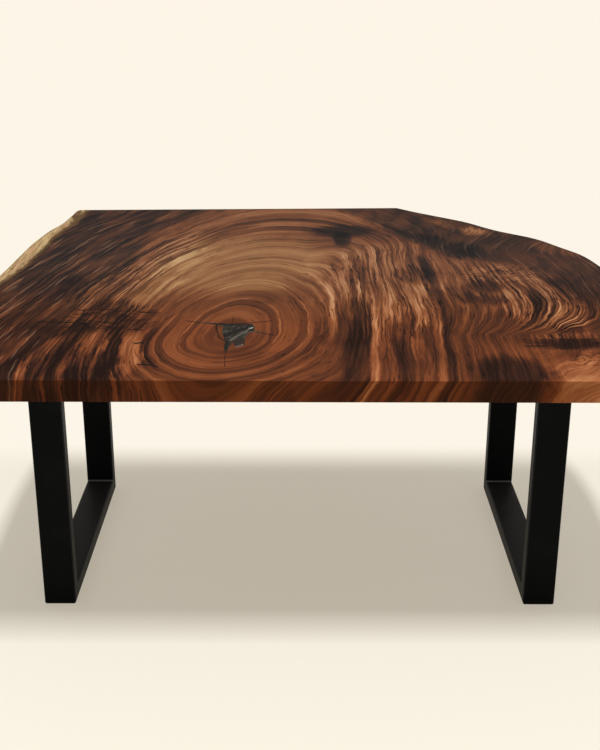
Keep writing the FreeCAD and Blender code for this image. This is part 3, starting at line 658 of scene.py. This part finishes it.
# Fine dark lines everywhere, and short light flecks in the dark heartwood.
thread = lines(120.0, 4.0, 9.0, twist=0.2)
thread = wood.soften(wood.apart(thread, 0.5), 0.030, 0.006)
sparse = wood.soften(wood.noise(wood.moved(spot, scale=(0.05, 0.12, 0.05))), 0.42, 0.60)
thread = wood.times(wood.times(thread, sparse), wood.less(1.0, turned))
tone = wood.layer(thread, wood.times(swing, -0.60), tone)
fleck = lines(120.0, 5.0, 3.0, detail=1.0)
faint = wood.layer(right_dark, -0.55, heart)
fleck = wood.times(wood.soften(fleck, 0.60, 0.70), faint)
tone = wood.layer(fleck, 0.20, tone)

# Thin bright lines on the right, where the wood is most figured.
glint = lines(130.0, 3.0, 7.0)
glint = wood.times(wood.soften(glint, 0.56, 0.64), wood.soften(swing, 0.38, 0.60))
tone = wood.layer(glint, 0.17, tone)

# A few thin bright rings close round the knot, fading in and out.
bright = wood.noise(wood.point(wood.times(oval, 95.0), 0.0, 2.0), detail=1.0)
bright = wood.soften(bright, 0.58, 0.68)
bright = wood.times(bright, wood.soften(wood.apart(oval, 0.115), 0.065, 0.03))
fading = wood.noise(wood.moved(spot, scale=(0.09, 0.09, 0.09)))
bright = wood.times(bright, wood.soften(fading, 0.35, 0.6))
tone = wood.layer(bright, 0.22, tone)

# Burl: tangled short lines in the eyes and at the right front.
tangle = wood.noise(wood.moved(spot, scale=(0.030, 0.022, 0.02)), twist=0.8)
dark_line = wood.soften(wood.apart(tangle, 0.46), 0.035, 0.008)
pale_line = wood.soften(wood.apart(tangle, 0.58), 0.025, 0.006)
BURLS = (
    ((0.490, 0.000), (0.11, 0.09)),
    ((0.560, -0.640), (0.07, 0.045)),
    ((0.490, -0.520), (0.07, 0.04)),
)
burl = 0.0
for middle, half in BURLS:
    burl = wood.sum("MAXIMUM", wood.near(frayed, middle, half, 1.2, 0.6), burl)
tone = wood.layer(wood.times(dark_line, burl), -0.26, tone)
tone = wood.layer(wood.times(pale_line, burl), 0.16, tone)

# In front of the limb the grain breaks off in a black smear, longest towards the right edge.
wisp = wood.centred(wood.noise(wood.moved(spot, scale=(0.060, 0.014, 0.05)), detail=3.0, rough=0.6))
smear = wood.point(wood.layer(wisp, 0.10, across), wood.layer(wisp, 0.045, along))
smear = wood.near(smear, (0.535, -0.545), (0.082, 0.038), 1.25, 0.50, math.radians(4))
tone = wood.layer(smear, -0.42, tone)

# Cross checks and worm holes where the wood is soft.
soft = wood.near(frayed, (-0.430, -0.375), (0.15, 0.095), 1.1, 0.7)
check = wood.noise(wood.moved(spot, scale=(0.030, 0.006, 0.03)), rough=0.7)
check = wood.times(wood.soften(check, 0.60, 0.64), soft)
burnt = wood.noise(wood.moved(spot, scale=(0.035, 0.020, 0.03)))
tone = wood.layer(wood.times(wood.soften(burnt, 0.50, 0.60), soft), -0.15, tone)

# Drying cracks: from, to, bow to the left and half width.
CRACKS = (
    ((-0.193, -0.421), (-0.168, -0.540), -0.008, 0.0022),
    ((-0.164, -0.600), (-0.160, -0.690), 0.0, 0.0009),
    ((-0.162, -0.365), (-0.161, -0.421), 0.0, 0.0009),
    ((-0.262, -0.397), (-0.076, -0.394), -0.022, 0.0036),
    ((-0.121, -0.466), (-0.068, -0.496), 0.0, 0.0030),
    ((-0.506, -0.322), (-0.425, -0.318), 0.004, 0.0050),
    ((-0.585, -0.406), (-0.466, -0.418), 0.004, 0.0060),
    ((-0.470, -0.398), (-0.420, -0.412), 0.0, 0.0040),
    ((-0.494, -0.310), (-0.490, -0.372), 0.0, 0.0026),
    ((-0.436, -0.340), (-0.432, -0.420), 0.0, 0.0028),
    ((-0.372, -0.335), (-0.322, -0.342), 0.0, 0.0045),
    ((-0.380, -0.458), (-0.345, -0.462), 0.0, 0.0045),
    ((-0.352, -0.552), (-0.335, -0.540), 0.0, 0.0060),
    ((-0.330, -0.675), (-0.288, -0.690), 0.004, 0.0050),
)
shake = wood.times(wood.centred(tiny), 0.006)
broken = check
for start, end, bow, half_width in CRACKS:
    share, aside = wood.stroke(spot, start, end)
    belly = wood.times(wood.times(share, wood.less(1.0, share)), 4 * bow)
    off = wood.sum("ABSOLUTE", wood.sum("ADD", wood.less(aside, belly), shake))
    line = wood.soften(off, half_width, half_width * 0.4)
    line = wood.times(line, wood.soften(wood.apart(share, 0.5), 0.52, 0.46))
    broken = wood.sum("MAXIMUM", line, broken)

# Small worm holes in three places near the front.
cells = wood.tree.nodes.new("ShaderNodeTexVoronoi")
wood.feed(cells.inputs["Vector"], spot)
cells.inputs["Scale"].default_value = 85.0
pick = wood.soften(wood.parts(cells.outputs["Color"])[0], 0.45, 0.50)
hole = wood.times(wood.soften(cells.outputs["Distance"], 0.28, 0.17), pick)
WORMY = (
    ((-0.055, -0.716), (0.09, 0.016)),
    ((-0.345, -0.546), (0.03, 0.02)),
    ((-0.320, -0.696), (0.04, 0.03)),
)
wormy = 0.0
for middle, half in WORMY:
    wormy = wood.sum("MAXIMUM", wood.near(spot, middle, half, 1.1, 0.9), wormy)
broken = wood.sum("MAXIMUM", broken, wood.times(hole, wormy))

# From the darkest wood to the palest, and the tints that are laid over it.
STOPS = (
    (0.00, (0.011, 0.004, 0.003)),
    (0.20, (0.032, 0.013, 0.009)),
    (0.40, (0.084, 0.029, 0.014)),
    (0.58, (0.182, 0.062, 0.025)),
    (0.76, (0.320, 0.134, 0.060)),
    (1.00, (0.520, 0.285, 0.150)),
)
GOLDEN, PAINTED_SHEEN, RUSSET = (1.04, 1.20, 1.12, 1), (0.001, 0.006, 0.008, 1), (1.05, 0.87, 0.74, 1)
FLECK, CRACK, PORE = (0.20, 0.135, 0.09, 1), (0.006, 0.005, 0.004, 1), (0.02, 0.012, 0.008, 1)
ramp = wood.tree.nodes.new("ShaderNodeValToRGB")
while len(ramp.color_ramp.elements) < len(STOPS):
    ramp.color_ramp.elements.new(0.5)
for element, (position, colour) in zip(ramp.color_ramp.elements, STOPS):
    element.position = position
    element.color = (*colour, 1.0)
wood.feed(ramp.inputs[0], tone)
colour = ramp.outputs[0]
drift = wood.noise(wood.moved(spot, scale=(0.10, 0.35, 0.10)))
drift = wood.layer(drift, 1.2, -0.60)
gold = wood.add("Clamp", {"Value": wood.sum("ADD", gold, drift)})
gilded = wood.mix(1.0, colour, GOLDEN, blend="MULTIPLY")
colour = wood.mix(gold, colour, gilded)
# Painted sheen: a bluish grey added towards the back stands in for the haze of reflection there.
painted_sheen_back = wood.mix(1.0, colour, PAINTED_SHEEN, blend="ADD")
colour = wood.mix(wood.soften(along, -0.35, 0.15), colour, painted_sheen_back)
russet = wood.mix(1.0, colour, RUSSET, blend="MULTIPLY")
colour = wood.mix(wood.soften(along, -0.12, -0.50), colour, russet)
colour = wood.mix(wood.times(fleck, 0.35), colour, FLECK)
colour = wood.mix(wood.times(broken, 0.92), colour, CRACK)

# Both sawn ends, and how near the left bark a place on them is.
SAWN_FROM, SAWN_FULL = 0.0009, 0.0002
sawn = wood.soften(along, SLAB_LOW.y + SAWN_FROM, SLAB_LOW.y + SAWN_FULL)
past = wood.add("VectorMath", {0: spot, 1: rear_out}, output="Value", operation="DOT_PRODUCT")
past = wood.less(past, rear_point.dot(rear_out))
sawn = wood.sum("MAXIMUM", sawn, wood.soften(past, -SAWN_FROM, -SAWN_FULL))
bark_slope = (rear_tip - front_tip) / (REAR_TIP_Y - FRONT_TIP_Y)
bark_line = wood.layer(along, bark_slope, front_tip - bark_slope * FRONT_TIP_Y)
bark_near = wood.soften(wood.less(across, bark_line), 0.055, 0.010)

# Sapwood under the bark of the left edge only: cream, with brown stains where it meets the heartwood.
SAP_BROWN, SAP_CREAM, SAP_BLUSH = (0.33, 0.205, 0.100, 1), (0.63, 0.46, 0.225, 1), (0.50, 0.275, 0.165, 1)
SAP_STAIN, SAP_PAINTED_SHADE, SAP_RIM = (0.13, 0.075, 0.038, 1), (0.17, 0.10, 0.05, 1), (0.150, 0.080, 0.030, 1)
edge = wood.add("Attribute", {}, output="Fac", attribute_name="bark_side")
edge = wood.layer(wood.less(bark_near, edge), sawn, edge)
stain = wood.noise(wood.moved(spot, scale=(0.03, 0.10, 0.03)), detail=4.0, rough=0.65)
sap = wood.layer(wood.centred(stain), 0.26, edge)
left = wood.soften(across, 0.0, -0.2)
sap = wood.layer(wood.soften(along, 0.10, -0.20), -0.20, sap)
rim = wood.times(wood.soften(sap, 0.17, 0.30), left)
sap = wood.times(wood.soften(sap, 0.29, 0.39), left)
fibre = wood.noise(wood.moved(spot, scale=(0.004, 0.08, 0.004)), detail=3.0)
cream = wood.mix(wood.soften(fibre, 0.34, 0.66), SAP_BROWN, SAP_CREAM)
flush = wood.noise(wood.moved(spot, scale=(0.012, 0.12, 0.012)))
cream = wood.mix(wood.times(wood.soften(flush, 0.45, 0.65), 0.55), cream, SAP_BLUSH)
stained = wood.layer(wood.soften(along, 0.46, 0.66), 0.16, stain)
cream = wood.mix(wood.soften(stained, 0.54, 0.70), cream, SAP_STAIN)
# Painted shade: the lower half of the rolled edge is darkened towards brown.
painted_shade_below = wood.times(wood.soften(depth, 0.30 * THICKNESS, 0.55 * THICKNESS), 0.45)
cream = wood.mix(painted_shade_below, cream, SAP_PAINTED_SHADE)
colour = wood.mix(wood.times(rim, 0.75), colour, SAP_RIM)
colour = wood.mix(sap, colour, cream)

# The sawn ends are darker than the top: partly end grain drinking more oil, partly painted shade.
SOAKED_AND_SHADED, OIL_AND_SHADE = (0.68, 0.55, 0.42, 1), (0.046, 0.016, 0.006, 1)
oiled = wood.mix(1.0, colour, SOAKED_AND_SHADED, blend="MULTIPLY")
oiled = wood.mix(0.25, oiled, OIL_AND_SHADE)
thirst_and_shade = wood.layer(wood.soften(across, 0.46, 0.56), -0.45, 1.0)
colour = wood.mix(wood.times(sawn, thirst_and_shade), colour, oiled)

pores = wood.noise(wood.moved(spot, scale=(0.0009, 0.012, 0.0009)), detail=1.0)
pore = wood.soften(pores, 0.66, 0.74)
colour = wood.mix(wood.times(pore, 0.45), colour, PORE)
fine = wood.layer(wood.sum("ADD", pore, broken), -0.5, figure)
wood.surface({"Base Color": colour, "Roughness": wood.layer(figure, 0.10, 0.47)})
wood.surface({"Specular IOR Level": 0.0, "Coat Weight": 0.055, "Coat Roughness": 0.30})
wood.surface({"Normal": wood.bump(fine, 0.0004, 0.35)})
wood.wear(live_slab)


# Knot fill
# Dark casting resin poured into the knot's void, over the rotten wood that is left in it. Once hard it
# is sanded flush with the top and polished with it.

resin = Finish("poured_resin")
spot = resin.place()
cloud = resin.noise(resin.moved(spot, scale=(0.012, 0.020, 0.02)), detail=4.0, rough=0.6)
vein = resin.noise(resin.moved(spot, turn=-0.5, scale=(0.008, 0.035, 0.02)), twist=0.6)
vein = resin.soften(resin.apart(vein, 0.5), 0.07, 0.02)
CLEAR, CLOUDY, VEIN = (0.012, 0.011, 0.008, 1), (0.058, 0.050, 0.036, 1), (0.003, 0.003, 0.002, 1)
colour = resin.mix(resin.soften(cloud, 0.38, 0.62), CLEAR, CLOUDY)
colour = resin.mix(vein, colour, VEIN)

# Soft strokes in the resin: start, end, half width and colour of each.
# The back rim and the shadow beside the ridge are painted shade; the ridge and the glint are painted
# highlights.
STROKES = (
    ("painted shade at the back rim", (-0.200, -0.425), (-0.112, -0.424), 0.007, (0.003, 0.002, 0.002)),
    ("rotten foot", (-0.165, -0.545), (-0.118, -0.530), 0.026, (0.020, 0.011, 0.008)),
    ("shadow beside the ridge", (-0.182, -0.512), (-0.122, -0.434), 0.010, (0.003, 0.002, 0.002)),
    ("tail", (-0.167, -0.530), (-0.164, -0.610), 0.008, (0.005, 0.004, 0.002)),
    ("ridge", (-0.160, -0.532), (-0.120, -0.450), 0.0040, (0.100, 0.090, 0.072)),
    ("glint", (-0.123, -0.450), (-0.115, -0.442), 0.0035, (0.420, 0.450, 0.410)),
    ("splinter", (-0.146, -0.575), (-0.132, -0.552), 0.0035, (0.150, 0.110, 0.085)),
)
waver = resin.times(resin.centred(cloud), 0.018)
for _, start, end, half_width, tint in STROKES:
    share, aside = resin.stroke(spot, start, end)
    aside = resin.sum("ABSOLUTE", resin.sum("ADD", aside, waver))
    line = resin.soften(aside, half_width, half_width * 0.5)
    line = resin.times(line, resin.soften(resin.apart(share, 0.5), 0.55, 0.45))
    colour = resin.mix(line, colour, (*tint, 1))
resin.surface({"Base Color": colour, "Roughness": resin.layer(cloud, 0.25, 0.15)})
resin.surface({"Specular IOR Level": 0.0, "Coat Weight": 0.12, "Coat Roughness": 0.12})
resin.surface({"Normal": resin.bump(resin.less(cloud, vein), 0.002, 0.5)})
resin.wear(nodes["knot_fill"])


# Tube legs
# Two frames of rectangular steel tube, mitred and welded, with a plate across the top. The welds are
# ground flush outside and left as a small bead in the inner corners, and all is powder coated satin black.

powder = Finish("black_powder_coat")
spot = powder.place()
orange_peel = powder.noise(spot, 900.0)
dust = powder.noise(spot, 14.0, detail=5.0, rough=0.7)
CLEAN, DULL = (0.0036, 0.0038, 0.0042, 1), (0.0058, 0.0061, 0.0067, 1)
DUST_AND_SHEEN, RUBBED_AND_HIGHLIGHT, BEAD_HIGHLIGHT = (0.030, 0.030, 0.031, 1), (0.026, 0.027, 0.029, 1), (0.200, 0.205, 0.210, 1)
colour = powder.mix(powder.soften(dust, 0.45, 0.75), CLEAN, DULL)

# Dust and painted sheen on what faces up; coating rubbed thin and painted highlight on the tube's rounded
# corners.
facing = powder.add("TexCoord", {}, output="Normal")
sideways, lengthways, upward = powder.parts(facing)
settled_dust_and_sheen = powder.times(powder.soften(upward, 0.80, 0.98), powder.layer(dust, 0.8, 0.3))
colour = powder.mix(settled_dust_and_sheen, colour, DUST_AND_SHEEN)
flatness = powder.sum("MAXIMUM", powder.sum("ABSOLUTE", sideways), powder.sum("ABSOLUTE", lengthways))
rounded = powder.soften(powder.sum("MAXIMUM", flatness, powder.sum("ABSOLUTE", upward)), 0.96, 0.80)
colour = powder.mix(powder.times(rounded, 0.7), colour, RUBBED_AND_HIGHLIGHT)

# A small weld bead in each inner corner between a post and its floor bar, with a painted highlight in light
# grey.
bar_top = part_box("left_floor_bar")[1].z
front_face, rear_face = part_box("left_front_post")[1].y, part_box("left_rear_post")[0].y
_, along, height = powder.parts(spot)
from_post = powder.apart(along, (front_face + rear_face) / 2)
from_post = powder.less(from_post, (rear_face - front_face) / 2)
from_corner = powder.length(powder.point(from_post, powder.less(height, bar_top)))
bead = powder.soften(from_corner, 0.0040, 0.0026)
colour = powder.mix(bead, colour, BEAD_HIGHLIGHT)
relief = powder.layer(bead, 6.0, orange_peel)
powder.surface({"Base Color": colour, "Roughness": powder.layer(dust, 0.2, 0.34)})
powder.surface({"Specular IOR Level": 0.035, "Normal": powder.bump(relief, 0.0002, 0.25)})
for side in ("left", "right"):
    for part in ("front_post", "rear_post", "floor_bar", "mounting_plate"):
        powder.wear(nodes[f"{side}_{part}"])

# The two steel channels let into the slab's underside have the same coat.
for end in ("front", "rear"):
    powder.wear(nodes[f"{end}_stiffener"])


# Fasteners
# Each plate hangs on four hexagon head screws with wide washers, in black oxide, driven up into zinc
# plated threaded inserts in the slab. Three such screws hold each channel, straight into the wood.


def metal(name, dark, light, metallic, fineness, roughness):
    """A mottled metal finish between two colours."""
    finish = Finish(name)
    mottle = finish.noise(finish.place(), fineness, detail=3.0)
    finish.surface({"Base Color": finish.mix(mottle, dark, light), "Metallic": metallic})
    finish.surface({"Roughness": finish.layer(mottle, 0.25, roughness)})
    return finish


oxide = metal("black_oxide", (0.010, 0.010, 0.011, 1), (0.035, 0.035, 0.038, 1), 0.7, 300.0, 0.3)
zinc = metal("zinc_plate", (0.42, 0.42, 0.40, 1), (0.66, 0.65, 0.60, 1), 1.0, 260.0, 0.25)
for side in ("left", "right"):
    oxide.wear(nodes[f"{side}_plate_screws"])
    oxide.wear(nodes[f"{side}_plate_washers"])
    zinc.wear(nodes[f"{side}_plate_inserts"])
for end in ("front", "rear"):
    oxide.wear(nodes[f"{end}_stiffener_screws"])


# Glide pads
# Thin pads of hard black felt, two under each floor bar. They are stuck on and keep the steel off the
# floor.

felt = Finish("glide_felt")
fuzz = felt.noise(felt.place(), 700.0, detail=4.0, rough=0.7)
felt.surface({"Base Color": felt.mix(fuzz, (0.012, 0.012, 0.012, 1), (0.05, 0.05, 0.05, 1))})
felt.surface({"Roughness": 0.95, "Normal": felt.bump(fuzz, 0.0005, 0.6)})
for side in ("left", "right"):
    felt.wear(nodes[f"{side}_glide_pads"])


# Studio
# A pale seamless paper floor and an even pale surround. One long soft lamp high up in front leaves the
# table's shadow on the floor.

CREAM = (0.982, 0.915, 0.800, 1)
SHADE_CREAM = (0.970, 0.880, 0.715, 1)
PAPER = (0.968, 0.960, 0.890, 1)
FLOOR_REACH = 12.0
GLOW_NEAR, GLOW_FAR = 0.42, 1.0
EVEN_TINT, EVEN_STRENGTH = (1.0, 0.97, 0.92, 1), 0.30
LAMP_PLACE, LAMP_AIM_HEIGHT = Vector((0, -4.27, 8.0)), 0.4
LAMP_WIDTH, LAMP_LENGTH, LAMP_POWER, LAMP_TINT = 0.5, 1.4, 625.0, (1.0, 0.98, 0.95)


def shown_to_camera(tree):
    """1 for rays that show the surround: straight from the camera, off gloss or through glass."""
    path = tree.nodes.new("ShaderNodeLightPath")
    seen = path.outputs["Is Camera Ray"]
    for name in ("Is Glossy Ray", "Is Transmission Ray"):
        either = tree.nodes.new("ShaderNodeMath")
        either.operation = "MAXIMUM"
        tree.links.new(seen, either.inputs[0])
        tree.links.new(path.outputs[name], either.inputs[1])
        seen = either.outputs[0]
    return seen


world = bpy.data.worlds.new("surround")
bpy.context.scene.world = world
world.use_nodes = True
tree = world.node_tree
tree.nodes.clear()
even = tree.nodes.new("ShaderNodeBackground")
even.inputs["Color"].default_value = EVEN_TINT
even.inputs["Strength"].default_value = EVEN_STRENGTH
pale = tree.nodes.new("ShaderNodeBackground")
pale.inputs["Color"].default_value = CREAM
pale.inputs["Strength"].default_value = 1.0
either = tree.nodes.new("ShaderNodeMixShader")
out = tree.nodes.new("ShaderNodeOutputWorld")
tree.links.new(shown_to_camera(tree), either.inputs[0])
tree.links.new(even.outputs[0], either.inputs[1])
tree.links.new(pale.outputs[0], either.inputs[2])
tree.links.new(either.outputs[0], out.inputs[0])

floor_mesh = bmesh.new()
bmesh.ops.create_circle(floor_mesh, cap_ends=True, segments=96, radius=FLOOR_REACH)
mesh = bpy.data.meshes.new("studio_floor")
floor_mesh.to_mesh(mesh)
floor_mesh.free()
floor = bpy.data.objects.new("studio_floor", mesh)
bpy.context.scene.collection.objects.link(floor)
paper = Finish("floor_paper")
spot = paper.place()
paper.surface({"Base Color": PAPER, "Roughness": 0.9, "Specular IOR Level": 0.0})
glow = paper.tree.nodes.new("ShaderNodeEmission")
glow.inputs["Strength"].default_value = 1.0
blend = paper.tree.nodes.new("ShaderNodeMixShader")
# Painted light: to the camera the floor glows in full behind the table and far off, over the rear of its
# shadow.
away = paper.length(spot)
far = paper.sum("MAXIMUM", paper.soften(paper.parts(spot)[1], 0.42, 0.66), paper.soften(away, 1.5, 2.8))
# Near the table the glow is weaker and warmer, a painted tint in the shadow.
paper.feed(glow.inputs["Color"], paper.mix(far, SHADE_CREAM, CREAM))
far = paper.layer(far, GLOW_FAR - GLOW_NEAR, GLOW_NEAR)
paper.feed(blend.inputs[0], paper.times(far, shown_to_camera(paper.tree)))
paper.tree.links.new(paper.shader.outputs[0], blend.inputs[1])
paper.tree.links.new(glow.outputs[0], blend.inputs[2])
paper.tree.links.new(blend.outputs[0], paper.tree.nodes["Material Output"].inputs[0])
paper.wear(floor)

lamp = bpy.data.lights.new("overhead", "AREA")
lamp.shape = "RECTANGLE"
lamp.size = LAMP_WIDTH
lamp.size_y = LAMP_LENGTH
lamp.energy = LAMP_POWER
lamp.color = LAMP_TINT
overhead = bpy.data.objects.new("overhead", lamp)
overhead.location = LAMP_PLACE
overhead.rotation_euler = (math.atan2(-LAMP_PLACE.y, LAMP_PLACE.z - LAMP_AIM_HEIGHT), 0, 0)
bpy.context.scene.collection.objects.link(overhead)


# Camera
# In front of the table and one and a half metres up, looking down on it by 20 degrees. Its place and lens
# put the corners of both legs where the photo has them.

EYE = Vector((-0.01562, -2.76405, 1.50116))
PITCH_DOWN = 20.29
ROLL = 0.002
SENSOR_WIDTH, LENS = 36.0, 55.27
camera_data = bpy.data.cameras.new("camera")
camera_data.sensor_width = SENSOR_WIDTH
camera_data.lens = LENS
camera = bpy.data.objects.new("camera", camera_data)
camera.location = EYE
camera.rotation_mode = "QUATERNION"
tilt = Matrix.Rotation(math.radians(90 - PITCH_DOWN), 4, "X") @ Matrix.Rotation(ROLL, 4, "Z")
camera.rotation_quaternion = tilt.to_quaternion()
bpy.context.scene.collection.objects.link(camera)
bpy.context.scene.camera = camera
bpy.context.scene.view_settings.view_transform = "Standard"
